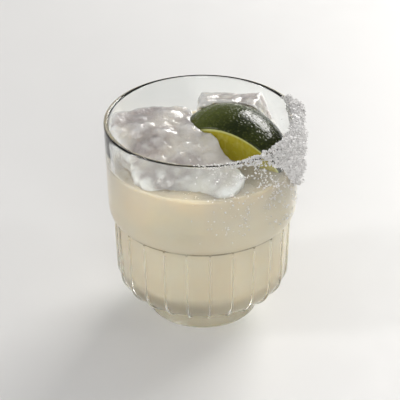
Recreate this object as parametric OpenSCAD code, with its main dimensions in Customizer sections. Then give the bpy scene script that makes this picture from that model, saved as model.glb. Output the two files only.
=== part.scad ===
// Margarita on the rocks: a stepped, ribbed tumbler with the drink, three lumps of ice, a lime wedge
// and a salted rim.
// Millimetres, +Z up, origin at the centre of the foot, -Y towards the viewer.

/* [Tumbler] */
// Height from the table to the top of the rim
glass_h = 96; // [84:1:112]
// Outer diameter at the rim
rim_d = 88; // [78:1:98]
// Outer diameter of the upper band just above its shoulder
upper_band_d = 86.2; // [76:0.2:96]
// Outer diameter of the ribbed lower band just below the shoulder
lower_band_d = 79.6; // [70:0.2:88]
// Outer diameter of the lower band where it starts to curve in
lower_band_end_d = 77.8; // [68:0.2:86]
// Outer diameter of the foot
foot_d = 50.6; // [44:0.2:58]
// Height of the foot
foot_h = 7.2; // [5:0.1:9]
// How much narrower the neck above the foot is, on each side
neck_inset = 1.3; // [0.8:0.1:2.4]
// Height at which the lower band starts to curve in
curve_start_z = 21.6; // [19:0.2:26]
// Height of the step under the shoulder
step_z = 49.6; // [44:0.2:54]
// Height over which the shoulder rounds out to the upper band
shoulder_h = 6.8; // [4:0.2:10]
// Wall thickness at the rim
rim_wall = 2.2; // [1.6:0.1:3]
// Wall thickness of the bands
band_wall = 2.7; // [2.2:0.1:3.4]
// Thickness of the solid base above the table, at its middle
base_t = 12.6; // [10:0.2:16]

/* [Ribs] */
// Number of upright ribs round the lower band
rib_count = 24; // [12:1:32]
// Width of a rib at the lower band, in degrees of turn
rib_angle = 1.5; // [1:0.1:2.4]
// How far a rib stands out of the wall
rib_proud = 0.45; // [0.3:0.05:0.8]

/* [Drink] */
// Height of the surface of the drink
drink_z = 78; // [72:0.5:84]

/* [Ice] */
// Thickness of the lump at the left, which stands behind the front one
ice_left_depth = 20; // [14:0.5:22]
// Edge length of the lump at the left, along its back
ice_left_size = 39; // [32:0.5:46]
// Edge length of the lump at the front, from the left to the right
ice_front_size = 37; // [31:0.5:43]
// Edge length of the lump at the front, from its back edge to the viewer
ice_front_depth = 42; // [34:0.5:46]
// Edge length of the lump at the back, at its top
ice_back_size = 27; // [22:0.5:30]
// Thickness of the lump at the back
ice_back_depth = 17; // [13:0.5:20]
// How far the front lump stands above the drink
ice_front_rise = 13.6; // [9:0.2:16]
// How far the left lump stands above the drink
ice_left_rise = 15; // [9:0.2:16]
// How far the back lump stands above the drink
ice_back_rise = 16.4; // [11:0.2:17.4]
// How far the lumps reach down into the drink
ice_sunk = 22; // [14:0.5:34]
// Free gap between neighbouring lumps, and between a lump and the glass
ice_gap = 0.6; // [0.3:0.1:1]

/* [Lime] */
// Length of the wedge from tip to tip
lime_l = 57; // [48:1:60]
// Radius of the lime at its widest
lime_r = 22.3; // [18:0.1:24]
// Half-width of the blunt tips
lime_tip_r = 2.4; // [1.5:0.1:4]
// Free gap round the wedge
lime_gap = 0.3; // [0.2:0.1:0.8]

/* [Salt] */
// Where the crust starts, in degrees round the rim from +X
salt_from = -96; // [-110:1:-70]
// Where the crust ends
salt_to = 31; // [10:1:60]
// Mean thickness of the crust
salt_t = 1.1; // [0.8:0.1:1.8]
// Depth of the crust below the rim, outside, where it is shallowest
salt_drop = 2.6; // [2.4:0.2:6]
// How much further down the crust runs at its longest lobe
salt_lobe = 31; // [16:1:33]
// Depth of the crust below the rim, inside
salt_inside = 1.8; // [1.6:0.2:5]

/* [Hidden] */
$fn = 96;

big = 160;                                // larger than the whole object
rim_r = rim_d / 2;
upper_r = upper_band_d / 2;
lower_r = lower_band_d / 2;
curve_r = lower_band_end_d / 2;
foot_r = foot_d / 2;
neck_r = foot_r - neck_inset;
shoulder_z = step_z + shoulder_h;
lip_r = rim_wall / 2;
foot_round = 0.8;                         // rounding of the foot's lower edge
rib_turn = 4.6;                           // where the first rib stands
curve_power = 1.85;                       // 2 is a quarter ellipse, less is flatter
floor_share = 0.44;                       // flat part of the inner floor, of the inner radius
rib_root = 0.9;                           // how deep a rib is rooted in the wall
curve_steps = 9;
shoulder_steps = 6;
inner_bend_steps = 10;
lip_steps = 8;

// Points of a quarter of a superellipse from [r0, z0], where it is level, to [r1, z1], where it is upright.
function bowl_arc(r0, z0, r1, z1, n, power) = [for (i = [0:n]) let (t = 90 * i / n)
    [r0 + (r1 - r0) * pow(sin(t), 2 / power), z1 - (z1 - z0) * pow(cos(t), 2 / power)]];

// The outer wall from the neck up to the top of the shoulder.
bowl_z = foot_h + neck_inset;
outer_wall = concat(
    bowl_arc(neck_r, bowl_z, curve_r, curve_start_z, curve_steps, curve_power),
    [[lower_r, step_z]],
    [for (i = [1:shoulder_steps]) let (t = 90 * i / shoulder_steps)
        [lower_r + (upper_r - lower_r) * sin(t), shoulder_z - shoulder_h * cos(t)]]);

// The wall inside, from the middle of the floor up to the lip.
inner_lower_r = lower_r - band_wall;
inner_curve_r = curve_r - band_wall;
inner_upper_r = upper_r - band_wall;
inner_rim_r = rim_r - rim_wall;
inner_bend_z = step_z - 5;                // the inside swings out more gently than the outside
inner_band_z = shoulder_z + 6;
inner_wall = concat(
    [[0, base_t]],
    bowl_arc(inner_curve_r * floor_share, base_t, inner_curve_r, curve_start_z + band_wall,
             curve_steps, curve_power),
    [for (i = [0:inner_bend_steps]) let (u = i / inner_bend_steps)
        [inner_lower_r + (inner_upper_r - inner_lower_r) * u * u * (3 - 2 * u),
         inner_bend_z + (inner_band_z - inner_bend_z) * u]],
    [[inner_rim_r, glass_h - lip_r]]);

foot_outline = concat(
    [[0, 0]],
    [for (i = [0:4]) let (t = 90 * i / 4)
        [foot_r - foot_round + foot_round * sin(t), foot_round - foot_round * cos(t)]],
    [[foot_r, foot_h - neck_inset], [neck_r, foot_h]]);

lip_arc = [for (i = [0:lip_steps]) let (t = 180 * i / lip_steps)
    [rim_r - lip_r + lip_r * cos(t), glass_h - lip_r + lip_r * sin(t)]];

// ---- Tumbler ------------------------------------------------------------------------------------

// One rib: a narrow sector that follows the wall from the neck up to the underside of the shoulder.
module rib() {
    rotate([0, 0, -rib_angle / 2])
        rotate_extrude(angle = rib_angle)
            polygon(concat(
                [[neck_r - rib_root, bowl_z - rib_proud]],
                bowl_arc(neck_r + rib_proud, bowl_z - rib_proud, curve_r + rib_proud, curve_start_z,
                         curve_steps, curve_power),
                [[lower_r + rib_proud, step_z + rib_root], [lower_r - rib_root, step_z + rib_root],
                 [curve_r - rib_root, curve_start_z + rib_root]],
                [for (i = [curve_steps - 2:-1:0]) outer_wall[i] + [-rib_root, rib_root]]));
}

module glass() {
    color([0.86, 0.9, 0.9, 0.35])
        union() {
            rotate_extrude()
                polygon(concat(foot_outline, outer_wall, lip_arc,
                               [for (i = [len(inner_wall) - 2:-1:0]) inner_wall[i]]));
            for (i = [0:rib_count - 1])
                rotate([0, 0, 360 * i / rib_count + rib_turn])
                    rib();
        }
}

// ---- Drink --------------------------------------------------------------------------------------

// Radius of the inner wall at height z, in the upper band.
function inner_r(z) = inner_upper_r + (inner_rim_r - inner_upper_r)
    * (z - inner_band_z) / (glass_h - lip_r - inner_band_z);

// The hollow of the tumbler up to height z, drawn in by g.
module hollow(z, g) {
    rotate_extrude()
        polygon(concat([for (i = [0:len(inner_wall) - 2]) [max(0, inner_wall[i].x - g), inner_wall[i].y + g]],
                       [[inner_r(z) - g, z], [0, z]]));
}

module drink() {
    color([0.86, 0.85, 0.72])
        difference() {
            hollow(drink_z, 0);
            ice_left_body();
            ice_front_body();
            ice_back_body();
            lime_body(0);
        }
}

// ---- Ice ----------------------------------------------------------------------------------------

// The two lumps in front lie side by side, both turned the same way; the back one stands on its own.
ice_turn = 31;
ice_corner = [-3.6, 9.3];                 // where the front lump's right and back faces meet
front_slope = 20;                         // slope of the front lump's broken face towards the viewer
front_slope_from = -3;                    // where that face starts, from the middle
left_slope = 44;
chip = 4.6;                               // size of the knocked-off corners

// Takes away all that lies past a plane at distance d from the origin; its normal has a turn and a lean.
module past(d, turn, lean) {
    rotate([0, -lean, turn])
        translate([d, -big / 2, -big / 2])
            cube(big);
}

module ice_left_body() {
    across = ice_left_size;
    difference() {
        intersection() {
            translate([ice_corner.x, ice_corner.y, drink_z - ice_sunk])
                rotate([0, 0, ice_turn])
                    translate([1.5 - across, ice_gap, 0])
                        difference() {
                            cube([across, ice_left_depth, ice_sunk + ice_left_rise]);
                            // knocked-off right end, and the corners of the top
                            translate([across, ice_left_depth, 0])
                                past(-9.5, 49, 0);
                            translate([across / 2, 0, ice_sunk + ice_left_rise])
                                past(-0.2, -96, 84);
                            translate([across, ice_left_depth, ice_sunk + ice_left_rise])
                                past(-chip * 1.2, 30, 40);
                            translate([0, ice_left_depth, ice_sunk + ice_left_rise])
                                past(-chip, 150, 45);
                            translate([across * 0.6, ice_left_depth, ice_sunk + ice_left_rise])
                                past(-1.1, 84, 62);
                        }
            hollow(glass_h, ice_gap);
        }
        // face that slopes down to the drink along the wall
        translate([-39, -3.5, drink_z + ice_left_rise])
            past(0, -96, 90 - left_slope);
        lime_body(lime_gap);
    }
}

module ice_front_body() {
    difference() {
        intersection() {
            translate([ice_corner.x, ice_corner.y, drink_z - ice_sunk])
                rotate([0, 0, ice_turn])
                    translate([-ice_front_size, -ice_front_depth, 0])
                        difference() {
                            cube([ice_front_size, ice_front_depth, ice_sunk + ice_front_rise]);
                            translate([ice_front_size, ice_front_depth, ice_sunk + ice_front_rise])
                                past(-chip * 0.28, 36, 38);
                            translate([0, ice_front_depth, ice_sunk + ice_front_rise])
                                past(-chip * 0.8, 140, 50);
                        }
            hollow(glass_h, ice_gap);
        }
        // face that slopes down towards the viewer, broken off in two planes
        translate([0, front_slope_from, drink_z + ice_front_rise])
            past(0, -84, 90 - front_slope);
        translate([0, front_slope_from - 27, drink_z + ice_front_rise - 27 * tan(front_slope)])
            past(0, -97, 40);
        translate([-22, front_slope_from, drink_z + ice_front_rise])
            past(0, -128, 62);
        lime_body(lime_gap);
    }
}

module ice_back_body() {
    difference() {
        intersection() {
            translate([0, 28.5, drink_z - ice_sunk])
                rotate([0, 0, 2])
                    difference() {
                        translate([-2.2, -ice_back_depth, 0])
                            cube([big / 2, ice_back_depth + 6, ice_sunk + ice_back_rise]);
                        // outer side, which leans over to the right
                        translate([ice_back_size, 0, ice_sunk + ice_back_rise])
                            past(0, -15, 33);
                        translate([ice_back_size / 2, 0, ice_sunk + ice_back_rise])
                            past(0.9, 90, 34);
                        // front face, which leans back from the lime
                        translate([0, -ice_back_depth * 0.68, ice_sunk + ice_back_rise])
                            past(0, -93, 14);
                        translate([0, 0, ice_sunk + ice_back_rise])
                            past(chip * 0.1, 172, 28);
                    }
            hollow(glass_h, ice_gap);
        }
        lime_body(lime_gap);
    }
}

ice_tint = [0.88, 0.89, 0.9, 0.8];

module ice_left() {
    color(ice_tint)
        ice_left_body();
}

module ice_front() {
    color(ice_tint)
        ice_front_body();
}

module ice_back() {
    color(ice_tint)
        ice_back_body();
}

// ---- Lime ---------------------------------------------------------------------------------------

// The wedge lies with its rind up; its two cut faces meet in an edge that is under the drink.
lime_turn = -46.5;                        // heading of the fruit's long axis
lime_rise = -5.5;                         // how steeply the axis climbs
lime_axis = [cos(lime_rise) * cos(lime_turn), cos(lime_rise) * sin(lime_turn), sin(lime_rise)];
lime_tip_in = 2.95;                       // how far the axis ends inside the wall, at the right
lime_tip_at = -25.6;                      // where it ends, round the glass
lime_tip_low = 5.4;                       // how far it ends below the surface of the drink
lime_end_r = inner_r(drink_z) - lime_tip_in;
lime_mid = [lime_end_r * cos(lime_tip_at), lime_end_r * sin(lime_tip_at), drink_z - lime_tip_low]
    - lime_axis * lime_l / 2;
lime_face_turn = 190;                     // way the visible cut face looks, round the axis
lime_face_off = lime_r * 0.39;            // distance of that face from the axis
lime_face_lean = 17;                      // how far it looks towards the right tip
lime_under_turn = -70;                    // way the lower cut face looks
lime_under_off = lime_r * 0.27;
lime_steps = 18;

// Half-outline of a lime from tip to tip: nearly an ellipse, drawn out to blunt tips.
function lime_half(l, r) = [for (i = [0:lime_steps]) let (t = 180 * i / lime_steps, s = sin(t))
    [max(lime_tip_r * (1 - s), 0) + r * (0.88 * s + 0.12 * pow(s, 3)), -l / 2 * cos(t)]];

module lime_body(g) {
    half = lime_half(lime_l + 2 * g, lime_r + g);
    translate(lime_mid)
        rotate([0, -lime_rise, lime_turn])
            rotate([90, 0, 90])
                difference() {
                    rotate_extrude()
                        polygon(concat([[0, half[0].y]], half, [[0, half[lime_steps].y]]));
                    past(lime_face_off + g, lime_face_turn, lime_face_lean);
                    past(lime_under_off + g, lime_under_turn, 0);
                }
}

module lime_wedge() {
    color([0.25, 0.42, 0.1])
        lime_body(0);
}

// ---- Salt ---------------------------------------------------------------------------------------

// One crust of crystals that wraps over the rim. Its section runs up the outside, over the lip and
// down the inside; the lower edge hangs deepest in a lobe at the right.
salt_gap = 0.05;                          // keeps the crust just clear of the glass
salt_columns = 56;
salt_up = 14;                             // rows on the outside
salt_down = 3;                            // rows on the inside
salt_lobe_at = -6;                        // where the lobe is, round the rim

function salt_turn(i) = salt_from + (salt_to - salt_from) * i / salt_columns;
// 0 at both ends of the crust, 1 along most of it
function salt_ends(i) = pow(sin(180 * i / salt_columns), 0.45);
// 0 at the thin front end, 1 past the turn at which the crust gets thick
function salt_grow(a) = 1 / (1 + exp(-(a + 52) / 7));
function salt_depth(a) = salt_drop * (0.55 + 0.45 * salt_grow(a)) + 2.5 * salt_grow(a)
    + (salt_lobe - 2.5) * exp(-pow((a - salt_lobe_at) / (a < salt_lobe_at ? 30 : 22), 2) * 1.2)
    + (0.2 + salt_grow(a)) * (1.1 * sin(a * 11) + 0.8 * sin(a * 23 + 40));
function salt_lump(a, j) = 1 + 0.3 * sin(a * 29 + j * 77) + 0.28 * sin(a * 17 - j * 131)
    + 0.22 * sin(a * 41 + j * 53);

// Radius of the outer wall at height z, in the upper band
function outer_r(z) = upper_r + (rim_r - upper_r) * (z - shoulder_z) / (glass_h - lip_r - shoulder_z);

// Point j of the section at turn a, raised off the glass by t; [radius, height]
salt_rows = salt_up + lip_steps + salt_down;
lip_z = glass_h - lip_r;
function salt_point(a, j, t) =
    j <= salt_up ? let (z = lip_z - max(salt_depth(a) - lip_r, 0.5) * (1 - j / salt_up))
        [outer_r(z) + t, z]
    : j <= salt_up + lip_steps ? let (s = 180 * (j - salt_up) / lip_steps)
        [rim_r - lip_r + (lip_r + t) * cos(s), lip_z + (lip_r + t) * sin(s)]
    : let (z = lip_z - (salt_inside - lip_r) * (j - salt_up - lip_steps) / salt_down)
        [inner_r(z) - t, z];

function salt_thick(i, j) = let (a = salt_turn(i), edge = min(1, min(j + 0.25, salt_rows - j + 0.25) / 2.2))
    salt_gap + 0.12 + salt_t * salt_ends(i) * (0.25 + 0.75 * salt_grow(a)) * edge * salt_lump(a, j);

function spun(p, a) = [p.x * cos(a), p.x * sin(a), p.y];

module salt_crust() {
    n = 2 * (salt_rows + 1);
    points = [for (i = [0:salt_columns]) let (a = salt_turn(i)) each concat(
        [for (j = [0:salt_rows]) spun(salt_point(a, j, salt_thick(i, j)), a)],
        [for (j = [salt_rows:-1:0]) spun(salt_point(a, j, salt_gap), a)])];
    sides = [for (i = [0:salt_columns - 1], k = [0:n - 1]) let (p = i * n + k, q = i * n + (k + 1) % n)
        each [[p, q, p + n], [q, q + n, p + n]]];
    caps = [for (k = [0:salt_rows - 1]) let (p = k, q = n - 1 - k, e = salt_columns * n)
        each [[p, q, p + 1], [p + 1, q, q - 1], [e + p, e + p + 1, e + q], [e + p + 1, e + q - 1, e + q]]];
    color([0.95, 0.95, 0.94])
        polyhedron(points, concat(sides, caps));
}

glass();
drink();
ice_left();
ice_front();
ice_back();
lime_wedge();
salt_crust();
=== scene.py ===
import math
import random

import bmesh
import bpy
import numpy as np
from mathutils import Matrix, Vector, noise
from mathutils.bvhtree import BVHTree


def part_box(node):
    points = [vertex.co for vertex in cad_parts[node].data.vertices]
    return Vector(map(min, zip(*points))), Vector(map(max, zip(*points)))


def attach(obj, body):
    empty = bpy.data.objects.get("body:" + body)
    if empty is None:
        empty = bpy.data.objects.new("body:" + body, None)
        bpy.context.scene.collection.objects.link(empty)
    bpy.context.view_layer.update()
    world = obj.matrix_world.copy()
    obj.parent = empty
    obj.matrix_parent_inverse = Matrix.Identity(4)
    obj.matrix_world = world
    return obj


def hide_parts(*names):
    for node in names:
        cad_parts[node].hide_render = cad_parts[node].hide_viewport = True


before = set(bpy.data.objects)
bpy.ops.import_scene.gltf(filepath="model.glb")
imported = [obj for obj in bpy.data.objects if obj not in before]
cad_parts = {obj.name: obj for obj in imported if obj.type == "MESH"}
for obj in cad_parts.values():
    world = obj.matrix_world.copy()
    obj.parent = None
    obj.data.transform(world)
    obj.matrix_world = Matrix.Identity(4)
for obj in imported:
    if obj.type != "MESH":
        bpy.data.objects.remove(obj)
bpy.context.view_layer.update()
MM = 0.001

# ---- Tumbler -------------------------------------------------------------------------------------
# Pressed soda-lime glass, clear and fire-polished: a plain upper band over a stepped-in lower band
# with twenty-four fine upright ribs, and a thick solid foot. The drinker's lip is melted round.
low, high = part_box("glass")
rim_r = (high[0] - low[0]) / 2
rim_z = high[2]
lip_r = 1.1 * MM
upper_r = 43.1 * MM
lower_r = 39.8 * MM
curve_r = 38.9 * MM
curve_z = 21.6 * MM
step_z = 49.6 * MM
shoulder_rise = 6.8 * MM
foot_r = 25.3 * MM
foot_z = 7.2 * MM
neck_in = 1.3 * MM
edge_round = 0.8 * MM                     # rounding of the foot's lower edge
wall_t = 2.7 * MM
floor_z = 12.6 * MM
bend_z = step_z - 5 * MM                  # the inside bends more gently than the outside,
band_z = step_z + shoulder_rise + 6 * MM  # from one of these heights to the other
rib_count = 24
rib_first = 4.6                           # turn of the first rib, in degrees
rib_out = 0.8 * MM
pitch = 360 / rib_count


def clamp(x):
    return max(0, min(1, x))


def ease(x):
    """Goes gently from 0 at 0 to 1 at 1."""
    x = clamp(x)
    return x * x * (3 - 2 * x)


def bowl(r0, z0, r1, z1, steps, power=2 / 1.85):
    """Points that rise from level at r0, z0 to upright at r1, z1."""
    turns = [math.pi / 2 * i / steps for i in range(steps + 1)]
    return [(r0 + (r1 - r0) * math.sin(t) ** power, z1 - (z1 - z0) * math.cos(t) ** power) for t in turns]


def shoulder(r0, r1, z, steps):
    """Points that rise from level at r0, z to upright at r1, without the first."""
    turns = [math.pi / 2 * i / steps for i in range(1, steps + 1)]
    return [(r0 + (r1 - r0) * math.sin(t), z + shoulder_rise * (1 - math.cos(t))) for t in turns]


def straight(a, b, steps):
    """Points between a and b, without either."""
    return [(a[0] + (b[0] - a[0]) * i / steps, a[1] + (b[1] - a[1]) * i / steps) for i in range(1, steps)]


def inside_wall(grow):
    """The inner wall from the middle of the floor up to the lip, moved into the glass by grow."""
    low_r = lower_r - wall_t + grow
    path = [(0, floor_z - grow), (6 * MM, floor_z - grow)]
    path += bowl((curve_r - wall_t) * 0.44, floor_z - grow, curve_r - wall_t + grow, curve_z + wall_t, 16)
    path += straight(path[-1], (low_r, bend_z), 5)
    path += [(low_r + (upper_r - lower_r) * ease(u), bend_z + (band_z - bend_z) * u)
             for u in [i / 14 for i in range(15)]]
    top = (rim_r - 2 * lip_r + grow, rim_z - lip_r)
    return path + straight(path[-1], top, 14) + [top]


def stand(name, mesh):
    """An object for a mesh, in the scene."""
    ob = bpy.data.objects.new(name, mesh)
    bpy.context.collection.objects.link(ob)
    return ob


def lathe(name, outline, turns, move):
    """A closed mesh of revolution. The outline starts and ends on the axis; move shifts a point of it."""
    ring = outline[1:-1]
    n, m = len(turns), len(ring)
    verts = [(0, 0, outline[0][1])]
    for a in turns:
        for k, (r, z) in enumerate(ring):
            dr, dz = move(k, r, z, a)
            verts.append(((r + dr) * math.cos(a), (r + dr) * math.sin(a), z + dz))
    verts.append((0, 0, outline[-1][1]))
    faces = []
    for i in range(n):
        a, b = 1 + i * m, 1 + (i + 1) % n * m
        faces.append((0, b, a))
        faces += [(a + k, b + k, b + k + 1, a + k + 1) for k in range(m - 1)]
        faces.append((a + m - 1, b + m - 1, len(verts) - 1))
    mesh = bpy.data.meshes.new(name)
    mesh.from_pydata(verts, [], faces)
    mesh.shade_smooth()
    return stand(name, mesh)


def add(tree, kind, props, values):
    """Adds a shader node; values are numbers, colours or sockets to join, by input name or number."""
    n = tree.nodes.new("ShaderNode" + kind)
    for key, value in props.items():
        setattr(n, key, value)
    for key, value in values.items():
        if isinstance(value, bpy.types.NodeSocket):
            tree.links.new(value, n.inputs[key])
        else:
            n.inputs[key].default_value = value
    return n


def ramp(tree, fac, stops):
    """Greys or colours by fac, with straight runs between the stops."""
    n = add(tree, "ValToRGB", {}, {0: fac})
    while len(n.color_ramp.elements) < len(stops):
        n.color_ramp.elements.new(0.5)
    for e, (at, colour) in zip(n.color_ramp.elements, stops):
        e.position = at
        e.color = (*colour, 1) if isinstance(colour, tuple) else (colour, colour, colour, 1)
    return n.outputs[0]


def mix(tree, fac, first, second):
    """Goes from the first colour to the second as fac goes from 0 to 1."""
    first, second = [(*c, 1) if isinstance(c, tuple) else c for c in (first, second)]
    return add(tree, "Mix", {"data_type": "RGBA"}, {0: fac, 6: first, 7: second}).outputs[2]


def reach(tree, value, start, end):
    """0 where value is at start or before it, 1 at end or past it."""
    return add(tree, "MapRange", {}, {"Value": value, "From Min": start, "From Max": end}).outputs[0]


def times(tree, first, second):
    return add(tree, "Math", {"operation": "MULTIPLY"}, {0: first, 1: second}).outputs[0]


def in_space(tree):
    """The place in the piece's own space."""
    return add(tree, "TexCoord", {}, {}).outputs["Object"]


def height_of(tree, place):
    return add(tree, "SeparateXYZ", {}, {0: place}).outputs[2]


def stored(tree, name):
    """What the mesh stores under a name, point by point."""
    return add(tree, "Attribute", {"attribute_name": name}, {}).outputs["Fac"]


def blank(name):
    """A material with no nodes yet, and its node tree."""
    mat = bpy.data.materials.new(name)
    mat.use_nodes = True
    mat.node_tree.nodes.clear()
    return mat, mat.node_tree


def unevenness():
    """Shared effect: soft noise in the piece's own space, as a mask from 0 to 1."""
    tree = bpy.data.node_groups.new("unevenness", "ShaderNodeTree")
    for name in ("Scale", "Low", "High"):
        tree.interface.new_socket(name, in_out="INPUT", socket_type="NodeSocketFloat")
    tree.interface.new_socket("Mask", in_out="OUTPUT", socket_type="NodeSocketFloat")
    given = tree.nodes.new("NodeGroupInput")
    out = tree.nodes.new("NodeGroupOutput")
    grain = add(tree, "TexNoise", {}, {
        "Vector": in_space(tree), "Scale": given.outputs["Scale"], "Detail": 4.0, "Roughness": 0.55})
    spread = reach(tree, grain.outputs[0], given.outputs["Low"], given.outputs["High"])
    tree.links.new(spread, out.inputs["Mask"])
    return tree


uneven = unevenness()


def mask(tree, scale, low_end, high_end):
    """The shared unevenness, 0 where its noise is under low_end and 1 where it is over high_end."""
    n = add(tree, "Group", {"node_tree": uneven}, {"Scale": scale, "Low": low_end, "High": high_end})
    return n.outputs["Mask"]


def bump(tree, height, strength, depth):
    """The surface's normal, tilted by a height."""
    return add(tree, "Bump", {}, {"Height": height, "Strength": strength, "Distance": depth}).outputs[0]


def show(tree, shade):
    """Makes a shader what the material shows."""
    add(tree, "OutputMaterial", {}, {"Surface": shade.outputs[0]})


def let_lamps_through(tree, surface, tint):
    """Light from the lamps passes, lightly tinted, so that what is inside isn't left in the dark."""
    rays = add(tree, "LightPath", {}, {})
    clear = add(tree, "BsdfTransparent", {}, {"Color": tint})
    show(tree, add(tree, "MixShader", {}, {
        0: rays.outputs["Is Shadow Ray"], 1: surface.outputs[0], 2: clear.outputs[0]}))


# The polish is a little smeared, and dull on the ribs' crests. A dark line of painted shade runs just under
# the ledge.
glass_mat, tree = blank("pressed_glass")
polish = ramp(tree, mask(tree, 60.0, 0.45, 0.75), [(0.0, 0.012), (1.0, 0.05)])
polish = add(tree, "Mix", {}, {0: stored(tree, "crest"), 2: polish, 3: 0.35}).outputs[0]
ripple = bump(tree, mask(tree, 35.0, 0.2, 0.8), 0.12, 0.0012)
at_ledge = reach(tree, height_of(tree, in_space(tree)), step_z - 1.5 * MM, step_z + 1 * MM)
# Painted shade: a dark line in the glass just under the ledge.
painted_ledge_shade = ramp(tree, at_ledge, [(0.0, 0.0), (0.1, 1.0), (0.46, 1.0), (0.6, 0.0)])
painted_ledge_shade = times(tree, painted_ledge_shade, mask(tree, 70.0, 0.2, 0.55))
clear = mix(tree, painted_ledge_shade, (0.965, 0.985, 0.975), (0.20, 0.185, 0.15))
glass_shade = add(tree, "BsdfPrincipled", {}, {
    "Base Color": clear, "Roughness": polish, "IOR": 1.5, "Transmission Weight": 1.0, "Normal": ripple})
let_lamps_through(tree, glass_shade, (0.93, 0.95, 0.94, 1))

neck_r = foot_r - neck_in
outline = [(0, 0.5 * MM), (foot_r * 0.7, 0.45 * MM), (foot_r - 3.2 * MM, 0.15 * MM), (foot_r - 2.2 * MM, 0)]
outline += [(foot_r - edge_round + edge_round * math.sin(t), edge_round * (1 - math.cos(t)))
            for t in [math.pi / 2 * i / 4 for i in range(5)]]
outline += straight(outline[-1], (foot_r, foot_z - neck_in), 4)
outline += [(foot_r, foot_z - neck_in), (foot_r - neck_in * 0.3, foot_z - neck_in * 0.35),
            (neck_r, foot_z), (neck_r, foot_z + neck_in * 0.6)]
rib_from = len(outline) - 1
outline += bowl(neck_r, foot_z + neck_in, curve_r, curve_z, 20)
outline += straight(outline[-1], (lower_r, step_z), 8)
outline += [(lower_r, step_z - 0.2 * MM), (lower_r, step_z)]
rib_to = len(outline) - 2
outline += [(lower_r + r * MM, step_z + z * MM)
            for r, z in ((0.2, 0.02), (0.7, -0.06), (0.95, 0.02), (1.1, 0.25))]
outline += shoulder(outline[-1][0], upper_r, outline[-1][1], 12)
outline += straight(outline[-1], (rim_r, rim_z - lip_r), 10)
outline += [(rim_r - lip_r + lip_r * math.cos(t), rim_z - lip_r + lip_r * math.sin(t))
            for t in [math.pi * i / 14 for i in range(14)]]
outline += inside_wall(0)[::-1]

# Columns of points stand close together on each rib and wide apart between two ribs, in degrees.
rib_columns = (-1.1, -0.85, -0.75, -0.6, -0.45, -0.2, 0.2, 0.45, 0.6, 0.75, 0.85, 1.1)
wall_columns = (3.2, 5.5, 7.5, 9.5, 11.8)
columns = [math.radians(rib_first + pitch * i + a)
           for i in range(rib_count) for a in rib_columns + wall_columns]


def off_rib(a):
    """How far the turn a, in radians, is from the middle of the nearest rib, in degrees."""
    return abs((math.degrees(a) - rib_first + pitch / 2) % pitch - pitch / 2)


def rib_move(k, r, z, a):
    """Raises the ribs along the wall's normal, and gives the pressed wall its faint waviness."""
    wave = 0.05 * MM * noise.noise(Vector((3 * math.cos(a), 3 * math.sin(a), z * 60)))
    if not rib_from <= k + 1 <= rib_to:
        return (wave if lip_r < z < rim_z - 2 * lip_r and r > foot_r else 0, 0)
    lift = rib_out * ease((0.9 - off_rib(a)) / 0.5) * min(1, (k + 1 - rib_from) / 2)
    (r0, z0), (r1, z1) = outline[k], outline[k + 2]
    length = math.hypot(r1 - r0, z1 - z0) or 1
    return (wave + lift * (z1 - z0) / length, -lift * (r1 - r0) / length)


tumbler = lathe("tumbler", outline, columns, rib_move)
crest = tumbler.data.attributes.new("crest", "FLOAT", "POINT")
for v in tumbler.data.vertices:
    ribbed = math.hypot(v.co.x, v.co.y) > foot_r - 1.5 * MM and foot_z < v.co.z < step_z - 1 * MM
    crest.data[v.index].value = 1.0 if ribbed and off_rib(math.atan2(v.co.y, v.co.x)) < 0.65 else 0.0
tumbler.data.materials.append(glass_mat)
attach(tumbler, "root")
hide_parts("glass")

# ---- Drink ---------------------------------------------------------------------------------------
# Tequila, lime juice and orange liqueur, shaken until cloudy. It fills the tumbler out to the wall,
# creeps up it in a thin meniscus, and stands round each lump of ice.
drink_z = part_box("drink")[1][2]
overlap = 0.15 * MM                       # how far the drink reaches into the wall
creep = 0.15 * MM                         # height of the meniscus
creep_wide = 3.4 * MM
lap_high = 0.35 * MM
band_r = upper_r - wall_t
edge_share = 0.48                         # how far up from the band to the lip the surface stands
edge_r = band_r + (rim_r - 2 * lip_r - band_r) * edge_share + overlap  # the drink's edge at its surface

drink_mat, tree = blank("cloudy_lime_drink")
height = height_of(tree, in_space(tree))
# The colour darkens towards the surface and most at the meniscus: painted shade.
tone = ramp(tree, reach(tree, height, floor_z, drink_z), [
    (0.0, (0.64, 0.585, 0.46)), (0.35, (0.66, 0.61, 0.49)), (0.75, (0.64, 0.595, 0.49)),
    (0.92, (0.56, 0.525, 0.45)), (0.975, (0.48, 0.45, 0.395)), (0.992, (0.24, 0.225, 0.205))])
swirl_and_painted_shade = mix(tree, mask(tree, 28.0, 0.35, 0.75), tone, (0.64, 0.545, 0.395))
by_wall = reach(tree, height, drink_z + 0.02 * MM, drink_z + 0.1 * MM)
wet = ramp(tree, mask(tree, 90.0, 0.3, 0.7), [(0.0, 0.06), (1.0, 0.16)])
wet = add(tree, "Math", {"operation": "MAXIMUM"}, {0: wet, 1: times(tree, by_wall, 0.6)}).outputs[0]
skin = bump(tree, mask(tree, 220.0, 0.2, 0.8), 0.15, 0.0005)
show(tree, add(tree, "BsdfPrincipled", {"subsurface_method": "RANDOM_WALK"}, {
    "Base Color": swirl_and_painted_shade, "Roughness": wet, "IOR": 1.34, "Normal": skin, "Subsurface Weight": 1.0,
    "Subsurface Radius": (1.0, 0.9, 0.7), "Subsurface Scale": 0.007}))

wall = [p for p in inside_wall(overlap) if p[1] < drink_z - 1 * MM]
surface = [(edge_r - creep_wide * (1 - math.cos(t)), drink_z + creep * (1 - math.sin(t)) ** 2)
           for t in [math.pi / 2 * i / 8 for i in range(9)]]
surface += [(r * MM, drink_z) for r in (34, 30, 26, 22, 18, 14, 10, 6, 3)]


def lap(k, r, z, a):
    """Small standing waves on the free surface."""
    if z < drink_z - 0.1 * MM or r > edge_r - 2 * MM:
        return (0, 0)
    return (0, lap_high * noise.noise(Vector((r * math.cos(a), r * math.sin(a), 0)) * 130))


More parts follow.
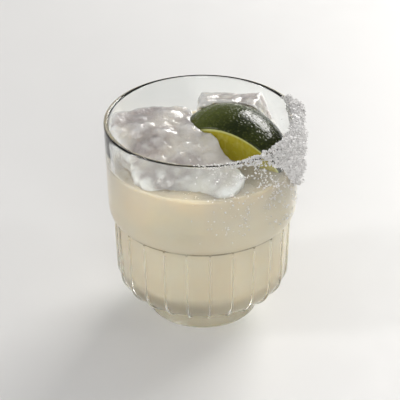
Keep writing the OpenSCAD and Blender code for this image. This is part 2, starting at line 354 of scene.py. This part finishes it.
def settle(ob):
    """Turns the result of an object's modifiers into its mesh."""
    done = bpy.data.meshes.new_from_object(ob.evaluated_get(bpy.context.evaluated_depsgraph_get()))
    ob.modifiers.clear()
    ob.data = done


def carve(ob, node, share):
    """Cuts a node's shape, shrunk to a share of its size, out of an object."""
    cutter = stand("cutter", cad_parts[node].data.copy())
    points = cutter.data.vertices
    middle = sum((v.co for v in points), Vector()) / len(points)
    for v in points:
        v.co = middle + (v.co - middle) * share
    cut = ob.modifiers.new("cut", "BOOLEAN")
    cut.operation, cut.object, cut.solver = "DIFFERENCE", cutter, "EXACT"
    settle(ob)
    bpy.data.objects.remove(cutter)


def drop_folded_slivers(mesh, least):
    """Merges points closer than least, and deletes faces that lie folded on one another."""
    form = bmesh.new()
    form.from_mesh(mesh)
    bmesh.ops.triangulate(form, faces=form.faces)
    bmesh.ops.remove_doubles(form, verts=form.verts, dist=least)
    bmesh.ops.dissolve_degenerate(form, dist=least, edges=form.edges)
    folded = {f for e in form.edges if len(e.link_faces) > 2 for f in e.link_faces
              if any(set(f.verts) == set(g.verts) for g in e.link_faces if g != f)}
    bmesh.ops.delete(form, geom=list(folded), context="FACES")
    form.to_mesh(mesh)


drink = lathe("drink_body", wall + surface + [(0, drink_z)], [math.tau * i / 160 for i in range(160)], lap)
drink.data.materials.append(drink_mat)
for lump in ("ice_left", "ice_front", "ice_back"):
    carve(drink, lump, 0.97)
drop_folded_slivers(drink.data, 0.02 * MM)
drink.data.shade_smooth()
drink.data.set_sharp_from_angle(angle=math.radians(40))
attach(drink, "root")
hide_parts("drink")

# ---- Ice -----------------------------------------------------------------------------------------
# Three lumps of cloudy, veined ice, wet and rounded by melting, that stand out of the drink. The left
# and the front one have frozen together, and their front has melted to the curve of the wall.
ice_mat, tree = blank("cloudy_ice")
place = in_space(tree)
veins = add(tree, "TexNoise", {"noise_type": "RIDGED_MULTIFRACTAL"}, {
    "Vector": place, "Scale": 42.0, "Detail": 7.0, "Roughness": 0.72, "Distortion": 1.4}).outputs[0]
veins = ramp(tree, veins, [(0.45, 0.0), (0.85, 1.0)])
tint = mix(tree, mask(tree, 55.0, 0.38, 0.6), (0.53, 0.49, 0.485), (0.86, 0.83, 0.775))
tint = mix(tree, veins, tint, (0.92, 0.905, 0.88))
# Painted highlight: edges that stand proud are painted lighter.
tint = mix(tree, stored(tree, "edge"), tint, (0.94, 0.925, 0.91))
rough = ramp(tree, mask(tree, 120.0, 0.3, 0.7), [(0.0, 0.02), (1.0, 0.12)])
facets = add(tree, "TexVoronoi", {"feature": "F1"}, {
    "Vector": place, "Scale": 210.0, "Detail": 2.0}).outputs[0]
wavy = add(tree, "Math", {"operation": "ADD"}, {0: mask(tree, 95.0, 0.2, 0.8), 1: veins}).outputs[0]
wavy = add(tree, "Math", {"operation": "MULTIPLY_ADD"}, {0: facets, 1: 0.45, 2: wavy}).outputs[0]
ice_shade = add(tree, "BsdfPrincipled", {"subsurface_method": "RANDOM_WALK"}, {
    "Base Color": tint, "Roughness": rough, "IOR": 1.31, "Transmission Weight": 0.4,
    "Subsurface Weight": 1.0, "Subsurface Radius": (1.0, 0.97, 0.94), "Subsurface Scale": 0.006,
    "Coat Weight": 0.8, "Coat Roughness": 0.04, "Normal": bump(tree, wavy, 0.8, 0.0014)})
let_lamps_through(tree, ice_shade, (0.4, 0.39, 0.385, 1))

ice_grid = 0.7 * MM                       # size of the mesh's squares
front_start = -155                        # the front of the ice, in degrees round the glass
front_end = -56


def remesh(ob, voxel):
    """Lays a fine, even mesh over an object's shape."""
    even = ob.modifiers.new("even", "REMESH")
    even.mode, even.voxel_size = "VOXEL", voxel
    settle(ob)


def from_cad(name, node, voxel):
    """A fine, even mesh on the shape of a CAD node."""
    ob = stand(name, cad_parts[node].data.copy())
    ob.data.materials.clear()
    remesh(ob, voxel)
    return ob


def wear(ob, passes):
    """Rounds what is sharp."""
    worn = ob.modifiers.new("worn", "SMOOTH")
    worn.iterations, worn.factor = passes, 0.5
    settle(ob)


def swell(ob, amount):
    """Moves the surface outwards."""
    for v, n in [(v, v.normal.copy()) for v in ob.data.vertices]:
        v.co += n * amount


def melt(ob, seed, amount):
    """Gives a lump melted hollows, facets and small chips, stronger on its top."""
    shift = Vector((seed * 3.1, seed * 1.7, seed * 2.3))
    for v, n in [(v, v.normal.copy()) for v in ob.data.vertices]:
        p = v.co
        broad = noise.noise(p * 60 + shift)
        near, next_near = noise.voronoi(p * 100 + shift)[0][:2]
        flake = 1.2 * near - 0.5 * min(0.4, next_near - near)
        fine = noise.noise(p * 300 - shift)
        top = clamp((p.z - drink_z - 4 * MM) / (6 * MM))
        v.co = p - n * amount * (0.6 * broad + (0.6 + 0.4 * top) * (flake - 0.35) + 0.25 * fine)


def mark_edge_highlights(mesh, passes, depth):
    """Stores how far each point stands proud of its smoothed surroundings. Such edges get a painted
    highlight.
    """
    place = np.array([v.co for v in mesh.vertices])
    normal = np.array([v.normal for v in mesh.vertices])
    pairs = np.array([e.vertices for e in mesh.edges])
    count = np.bincount(pairs.ravel(), minlength=len(place))[:, None]
    smooth = place.copy()
    for _ in range(passes):
        total = np.zeros_like(smooth)
        np.add.at(total, pairs[:, 0], smooth[pairs[:, 1]])
        np.add.at(total, pairs[:, 1], smooth[pairs[:, 0]])
        smooth = total / count
    proud = ((place - smooth) * normal).sum(axis=1) / depth
    mesh.attributes.new("edge", "FLOAT", "POINT").data.foreach_set("value", np.clip(proud, 0, 1))


def search_tree(mesh):
    """Finds the nearest point of a mesh's surface."""
    return BVHTree.FromPolygons([v.co for v in mesh.vertices], [f.vertices for f in mesh.polygons])


def freeze_together(name, nodes):
    """Lumps that touched and froze into one, with the seam between them melted down."""
    parts = [from_cad(node, node, ice_grid) for node in nodes]
    lumps = [search_tree(ob.data) for ob in parts]
    whole = bmesh.new()
    for ob in parts:
        swell(ob, 0.45 * MM)
        whole.from_mesh(ob.data)
        bpy.data.objects.remove(ob)
    mesh = bpy.data.meshes.new(name)
    whole.to_mesh(mesh)
    ob = stand(name, mesh)
    remesh(ob, ice_grid)
    seam = ob.vertex_groups.new(name="seam")
    for v in ob.data.vertices:
        far = max(lump.find_nearest(v.co)[3] for lump in lumps)
        seam.add([v.index], clamp((5 * MM - far) / (2 * MM)), "REPLACE")
    soft = ob.modifiers.new("soft", "SMOOTH")
    soft.iterations, soft.factor, soft.vertex_group = 90, 0.5, "seam"
    settle(ob)
    swell(ob, -0.3 * MM)
    return ob


def lean_on_wall(ob, share):
    """Brings a lump's front out by a share of its way to the wall, melted to the glass's curve."""
    furthest = {}
    for v in ob.data.vertices:
        if v.co.z > drink_z - 6 * MM:
            turn = round(math.degrees(math.atan2(v.co.y, v.co.x)))
            furthest[turn] = max(furthest.get(turn, 0), math.hypot(v.co.x, v.co.y))
    for v in ob.data.vertices:
        turn = math.degrees(math.atan2(v.co.y, v.co.x))
        near = [furthest[t] for t in range(round(turn) - 7, round(turn) + 8) if t in furthest]
        in_front = clamp((turn - front_start) / 25) * clamp((front_end - turn) / 14)
        in_front *= clamp((v.co.z - drink_z + 7 * MM) / (5 * MM))
        if not near or not in_front:
            continue
        face = sum(near) / len(near)
        r = math.hypot(v.co.x, v.co.y)
        out = in_front * share * max(0, edge_r - 0.9 * MM - face) * ease((r / face - 0.65) / 0.35)
        v.co.x *= 1 + out / r
        v.co.y *= 1 + out / r


def keep_off_wall(ob, gap):
    """Brings in whatever comes closer to the glass than gap."""
    wall_r, wall_z = zip(*inside_wall(-gap))
    for v in ob.data.vertices:
        over = math.hypot(v.co.x, v.co.y) / np.interp(v.co.z, wall_z, wall_r)
        v.co.x /= max(1, over)
        v.co.y /= max(1, over)


def finish_ice(ice, seed, nodes):
    """Melts a lump, keeps it clear of the glass and gives it its look."""
    wear(ice, 4)
    melt(ice, seed, 1.5 * MM)
    wear(ice, 1)
    keep_off_wall(ice, 0.2 * MM)
    mark_edge_highlights(ice.data, 12, 0.5 * MM)
    ice.data.shade_smooth()
    ice.data.materials.append(ice_mat)
    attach(ice, "root")
    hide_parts(*nodes)


frozen = freeze_together("ice_front_and_left", ("ice_left", "ice_front"))
lean_on_wall(frozen, 0.95)
finish_ice(frozen, 1, ("ice_left", "ice_front"))
finish_ice(from_cad("ice_back_lump", "ice_back", ice_grid), 3, ("ice_back",))

# ---- Bubbles -------------------------------------------------------------------------------------
# Air left by the shaking: single bubbles that float, half sunk, where the drink meets the wall, the
# ice and the lime.
bubble_count = 90
by_the_wall = 45                          # how many stand at the wall; the rest are by the ice and lime

bubble_mat, tree = blank("bubble_film")
film = add(tree, "BsdfPrincipled", {}, {
    "Base Color": (0.96, 0.95, 0.92, 1), "IOR": 1.33, "Transmission Weight": 1.0,
    "Roughness": ramp(tree, mask(tree, 500.0, 0.3, 0.7), [(0.0, 0.01), (1.0, 0.05)])})
let_lamps_through(tree, film, (0.9, 0.9, 0.88, 1))

dice = random.Random(3)
solids = [search_tree(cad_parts[node].data)
          for node in ("ice_left", "ice_front", "ice_back", "lime_wedge")]
froth = bmesh.new()
made = 0
while made < bubble_count:
    size = dice.uniform(0.3, 1.0) * MM
    turn = dice.uniform(0, math.tau)
    at_wall = made < by_the_wall
    out = edge_r - 1.2 * MM - size if at_wall else dice.uniform(8 * MM, 38 * MM)
    spot = Vector((out * math.cos(turn), out * math.sin(turn), drink_z))
    near = [solid.find_nearest(spot) for solid in solids]
    clear_of = [(spot - hit[0]).dot(hit[1]) for hit in near]
    if min(clear_of) < size or (not at_wall and min(hit[3] for hit in near) > 3 * MM):
        continue
    middle = Matrix.Translation(spot + Vector((0, 0, size * 0.2)))
    bmesh.ops.create_icosphere(froth, subdivisions=2, radius=size, matrix=middle)
    made += 1
mesh = bpy.data.meshes.new("drink_bubbles")
froth.to_mesh(mesh)
mesh.shade_smooth()
mesh.materials.append(bubble_mat)
bubbles = stand("drink_bubbles", mesh)
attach(bubbles, "root")

# ---- Lime wedge ----------------------------------------------------------------------------------
# A wedge cut lengthwise from a ripe lime: thin waxy rind full of oil glands, a narrow band of pith
# under it, and wet flesh on the two cut faces. It lies rind up on the ice.
lime_turn = math.radians(-46.5)
lime_rise = math.radians(-5.5)
lime_half = 28.5 * MM
lime_r = 22.3 * MM
blunt_r = 2.4 * MM                        # half-width of the blunt tips
tip_out = 38.12 * MM                      # the right tip, by the wall
tip_at = math.radians(-25.6)
tip_low = 5.4 * MM
lime_grid = 0.45 * MM
lime_axis = Vector((math.cos(lime_rise) * math.cos(lime_turn), math.cos(lime_rise) * math.sin(lime_turn),
                    math.sin(lime_rise)))
lime_tip = Vector((tip_out * math.cos(tip_at), tip_out * math.sin(tip_at), drink_z - tip_low))
lime_mid = lime_tip - lime_axis * lime_half

# Depth under the rind tells rind, pith and flesh apart. Painted light makes the rind lighter, with stronger
# speckles, towards its stem end.
lime_mat, tree = blank("lime")
place = in_space(tree)
under = stored(tree, "under_rind")
glands = add(tree, "TexVoronoi", {"feature": "SMOOTH_F1"}, {
    "Vector": place, "Scale": 720.0, "Smoothness": 0.4}).outputs[0]
gland_spot = ramp(tree, glands, [(0.0, 1.0), (0.32, 0.25), (0.6, 0.0)])
painted_light_stem_end = reach(tree, stored(tree, "along"), 0.004, -0.022)
green = mix(tree, mask(tree, 75.0, 0.35, 0.68), (0.011, 0.017, 0.001), (0.026, 0.034, 0.002))
# Painted light: the stem end of the rind is lighter, and its gland speckles show more there.
green = mix(tree, painted_light_stem_end, green, (0.095, 0.118, 0.012))
speckle_by_painted_light = add(tree, "MapRange", {}, {"Value": painted_light_stem_end, "To Min": 0.4, "To Max": 1.0}).outputs[0]
green = mix(tree, times(tree, speckle_by_painted_light, gland_spot), green, (0.12, 0.135, 0.022))
grain = add(tree, "Mapping", {}, {
    "Vector": place, "Rotation": (0, 0, -lime_turn), "Scale": (1.0, 0.35, 0.35)})
pulp = add(tree, "TexVoronoi", {"feature": "F1"}, {"Vector": grain.outputs[0], "Scale": 520.0}).outputs[0]
flesh = ramp(tree, pulp, [
    (0.0, (0.43, 0.38, 0.035)), (0.55, (0.38, 0.325, 0.025)), (1.0, (0.47, 0.42, 0.08))])
inner = mix(tree, reach(tree, under, 0.0011, 0.0019), (0.55, 0.56, 0.22), flesh)
colour = mix(tree, reach(tree, under, 0.0004, 0.0008), green, inner)
pits = times(tree, times(tree, gland_spot, reach(tree, under, 0.0008, 0.0004)), -1.0)
pits = add(tree, "Math", {"operation": "ADD"}, {0: pits, 1: times(tree, pulp, 0.25)}).outputs[0]
wax = ramp(tree, mask(tree, 300.0, 0.3, 0.7), [(0.0, 0.16), (1.0, 0.32)])
show(tree, add(tree, "BsdfPrincipled", {"subsurface_method": "RANDOM_WALK"}, {
    "Base Color": colour, "Roughness": wax, "IOR": 1.45, "Normal": bump(tree, pits, 0.6, 0.0004),
    "Subsurface Weight": 0.12, "Subsurface Radius": (0.8, 1.0, 0.2), "Subsurface Scale": 0.002,
    "Coat Weight": 0.2, "Coat Roughness": 0.12, "Specular IOR Level": 0.3}))

lime = from_cad("lime", "lime_wedge", lime_grid)
wear(lime, 2)
rind_turns = [math.pi * i / 60 for i in range(61)]
rind_z = [-lime_half * math.cos(t) for t in rind_turns]
rind_r = [max(blunt_r * (1 - s), 0) + lime_r * (0.88 * s + 0.12 * s ** 3) for s in map(math.sin, rind_turns)]
under_rind = lime.data.attributes.new("under_rind", "FLOAT", "POINT")
along = lime.data.attributes.new("along", "FLOAT", "POINT")
for v in lime.data.vertices:
    p = v.co - lime_mid
    z = p.dot(lime_axis)
    r = (p - lime_axis * z).length
    under_rind.data[v.index].value = min(np.interp(z, rind_z, rind_r) - r, lime_half - abs(z))
    along.data[v.index].value = z
lime.data.shade_smooth()
lime.data.materials.append(lime_mat)
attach(lime, "root")
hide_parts("lime_wedge")

# ---- Salt ----------------------------------------------------------------------------------------
# Coarse kosher salt, pressed on to a wetted rim: flaky crystals stick in clumps over the lip and far
# down one side, on a thin damp crust, with loose grains scattered below it on the outside.
crystal_count = 11000
grain_count = 650
grain_low = 56                            # heights between which loose grains stick, in mm
grain_high = 94
salt_end = 25                             # where the salt ends, in degrees round the rim
salt_grid = 0.42 * MM

salt_mat, tree = blank("coarse_salt")
white = ramp(tree, mask(tree, 900.0, 0.3, 0.7), [(0.0, (0.60, 0.585, 0.57)), (1.0, (0.86, 0.85, 0.845))])
sparkle = ramp(tree, mask(tree, 1500.0, 0.35, 0.65), [(0.0, 0.15), (1.0, 0.5)])
show(tree, add(tree, "BsdfPrincipled", {}, {
    "Base Color": white, "Roughness": sparkle, "IOR": 1.54, "Subsurface Weight": 0.25,
    "Subsurface Radius": (1.0, 1.0, 1.0), "Subsurface Scale": 0.0008,
    "Normal": bump(tree, mask(tree, 2400.0, 0.2, 0.8), 0.4, 0.0002)}))


def degrees_round(p):
    """Where p is round the rim, in degrees."""
    return math.degrees(math.atan2(p.y, p.x))


def grown(p):
    """From 0, a dusting on the lip, to 1, the thick crust, by where p is round the rim."""
    return 1 / (1 + math.exp(-(degrees_round(p) + 37) / 7))


def crumbled(p):
    """True where the crust has come away, more often towards its lower edge."""
    low = clamp((rim_z - 4 * MM - p.z) / (16 * MM))
    return noise.noise(p * 140) + 0.5 * noise.noise(p * 420) > 0.5 - 0.6 * low


def bare(p):
    """True where no crust is left at p."""
    return noise.noise(p * 260) > grown(p) * 0.6 - 0.42 or degrees_round(p) > salt_end or crumbled(p)


def drop_crumbs(form, least):
    """Deletes islands of fewer than the least number of faces."""
    seen, crumbs = set(), []
    for start in form.faces:
        if start in seen:
            continue
        island, waiting = [start], [start]
        seen.add(start)
        while waiting:
            for near in {f for e in waiting.pop().edges for f in e.link_faces} - seen:
                seen.add(near)
                island.append(near)
                waiting.append(near)
        if len(island) < least:
            crumbs += island
    bmesh.ops.delete(form, geom=crumbs, context="FACES")


crust = from_cad("salt_crust_core", "salt_crust", salt_grid)
for v, n in [(v, v.normal.copy()) for v in crust.data.vertices]:
    v.co = v.co - n * (0.38 * MM + 0.25 * MM * noise.noise(v.co * 900))
form = bmesh.new()
form.from_mesh(crust.data)
bmesh.ops.delete(form, geom=[f for f in form.faces if bare(f.calc_center_median())], context="FACES")
drop_crumbs(form, least=60)
form.to_mesh(crust.data)
crust.data.shade_smooth()
crust.data.materials.append(salt_mat)
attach(crust, "root")
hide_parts("salt_crust")


def jitter(dice):
    """A random place in the cube from -1 to 1."""
    return Vector((dice.uniform(-1, 1), dice.uniform(-1, 1), dice.uniform(-1, 1)))


def crystals(name, spots, seed):
    """One mesh of many small, uneven salt crystals. Each spot is (place, size)."""
    dice = random.Random(seed)
    corner = [(x, y, z) for x in (-1, 1) for y in (-1, 1) for z in (-1, 1)]
    sides = [(0, 1, 3, 2), (4, 6, 7, 5), (0, 4, 5, 1), (2, 3, 7, 6), (0, 2, 6, 4), (1, 5, 7, 3)]
    verts, faces = [], []
    for place, size in spots:
        angle = dice.uniform(0, math.tau)
        turn = Matrix.Rotation(angle, 3, Vector((dice.gauss(0, 1), dice.gauss(0, 1), dice.gauss(0, 1))))
        stretch = (dice.uniform(0.6, 1.6), dice.uniform(0.5, 1.2), dice.uniform(0.3, 0.8))
        taper = dice.uniform(0.2, 1.0)
        start = len(verts)
        for x, y, z in corner:
            k = taper if x > 0 else 1
            p = Vector((x * stretch[0], y * stretch[1] * k, z * stretch[2] * k)) * (size / 2)
            verts.append(place + turn @ (p + jitter(dice) * size * 0.08))
        faces += [tuple(start + i for i in side) for side in sides]
    mesh = bpy.data.meshes.new(name)
    mesh.from_pydata(verts, [], faces)
    mesh.materials.append(salt_mat)
    ob = stand(name, mesh)
    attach(ob, "root")


dice = random.Random(7)
body = from_cad("salt_shape", "salt_crust", salt_grid)
free_faces = [(f.center.copy(), f.normal.copy(), f.area) for f in body.data.polygons
              if math.hypot(f.center.x, f.center.y) > rim_r + 0.25 * MM or f.center.z > rim_z + 0.1 * MM]
bpy.data.objects.remove(body)
areas = np.cumsum([f[2] for f in free_faces])
spots = []
while len(spots) < crystal_count:
    place, normal, _ = free_faces[int(np.searchsorted(areas, dice.uniform(0, areas[-1])))]
    thick = grown(place)
    turn = degrees_round(place)
    on_lip = clamp((place.z - rim_z + 2.6 * MM) / (1 * MM)) * clamp((turn + 96) / 22)
    if turn > salt_end + 3 * noise.noise(place * 200) or crumbled(place) and dice.random() < 0.85:
        continue
    clump = noise.noise(place * 260) + 0.5 * noise.noise(place * 800)
    if clump < dice.uniform(-0.6, 0.3) - 0.25 * thick:
        continue
    if dice.random() > 0.06 + 0.5 * on_lip + 0.9 * thick:
        continue
    size = min(1.6, max(0.3, dice.lognormvariate(math.log(0.5 + 0.2 * thick), 0.4))) * MM
    out = dice.uniform(-0.5, 0.1 + (0.4 + 1.2 * max(0, clump)) * thick) * MM
    if thick > 0.8 and clump > 0.38 and dice.random() < 0.12:  # a stack of crystals that stands out
        for step in range(4):
            way = normal + Vector((0, 0, dice.uniform(-0.3, 0.3)))
            spots.append((place + way * (0.5 + 0.55 * step) * MM, size * 0.9))
    spots.append((place + normal * out, size))
crystals("salt_crystals", spots, 11)


def outside_r(z):
    """The upper band's outer radius."""
    start = step_z + shoulder_rise
    return upper_r + (rim_r - upper_r) * (z - start) / (rim_z - lip_r - start)


grains = []
while len(grains) < grain_count:
    turn = math.radians(dice.uniform(-105, 30))
    z = dice.uniform(grain_low, grain_high) * MM
    lobe = math.exp(-((math.degrees(turn) + 38) / 34) ** 2)
    if dice.random() > lobe * (0.25 + 0.75 * (z / MM - grain_low) / (grain_high - grain_low)):
        continue
    out = Vector((math.cos(turn), math.sin(turn), 0))
    if noise.noise(out * 9 + Vector((0, 0, z * 150))) < dice.uniform(-0.3, 0.25):
        continue
    grains.append((out * (outside_r(z) + 0.1 * MM) + Vector((0, 0, z)), dice.uniform(0.25, 0.8) * MM))
crystals("salt_loose_grains", grains, 12)

# ---- Table and light -----------------------------------------------------------------------------
# A plain pale table, a large soft lamp behind on the right, a narrow one on each side and a broad
# weak one in front.
table_mat, tree = blank("pale_table")
tone = ramp(tree, mask(tree, 4.0, 0.3, 0.7), [(0.0, (0.72, 0.715, 0.705)), (1.0, (0.75, 0.745, 0.735))])
matt = ramp(tree, mask(tree, 60.0, 0.3, 0.7), [(0.0, 0.4), (1.0, 0.5)])
show(tree, add(tree, "BsdfPrincipled", {}, {"Base Color": tone, "Roughness": matt}))
mesh = bpy.data.meshes.new("table_top")
mesh.from_pydata([(-3, -3, 0), (3, -3, 0), (3, 3, 0), (-3, 3, 0)], [], [(0, 1, 2, 3)])
mesh.materials.append(table_mat)
table = stand("table_top", mesh)


def lamp(name, place, aim_z, size, watts, colour):
    """A soft rectangular lamp that faces the middle of the glass at the height aim_z."""
    data = bpy.data.lights.new(name, "AREA")
    data.shape, data.energy, data.color = "RECTANGLE", watts, colour
    data.size, data.size_y = size
    ob = stand(name, data)
    ob.location = place
    ob.rotation_euler = (Vector((0, 0, aim_z)) - Vector(place)).to_track_quat("-Z", "Y").to_euler()


lamp("back_right_lamp", (0.5, 0.75, 0.6), 0.06, (0.65, 0.45), 10.5, (1, 0.985, 0.96))
lamp("left_strip", (-0.75, -0.15, 0.4), 0.06, (0.10, 0.7), 2.4, (1, 0.98, 0.98))
lamp("right_strip", (0.8, -0.2, 0.35), 0.06, (0.06, 0.6), 1.1, (1, 0.99, 0.98))
lamp("front_lamp", (0.12, -1.0, 0.55), 0.05, (0.6, 0.5), 5.0, (1, 0.99, 0.97))

world = bpy.data.worlds.new("studio")
world.use_nodes = True
bpy.context.scene.world = world
sky = world.node_tree.nodes["Background"]
sky.inputs["Color"].default_value = (0.85, 0.86, 0.88, 1)
sky.inputs["Strength"].default_value = 0.28

# ---- Camera --------------------------------------------------------------------------------------
# A long lens that looks down on the glass from the front, turned a little out of level.
tilt = math.radians(30.7)
roll = math.radians(-0.35)
away = 0.85
aim_z = 53.65 * MM
camera = stand("camera", bpy.data.cameras.new("camera"))
camera.data.sensor_width, camera.data.lens, camera.data.shift_x = 36, 167.1, -0.0063
camera.location = (0, -away * math.cos(tilt), aim_z + away * math.sin(tilt))
facing = Matrix.Rotation(math.pi / 2 - tilt, 3, "X") @ Matrix.Rotation(roll, 3, "Z")
camera.rotation_euler = facing.to_euler()
bpy.context.scene.camera = camera
bpy.context.scene.view_settings.view_transform = "Standard"
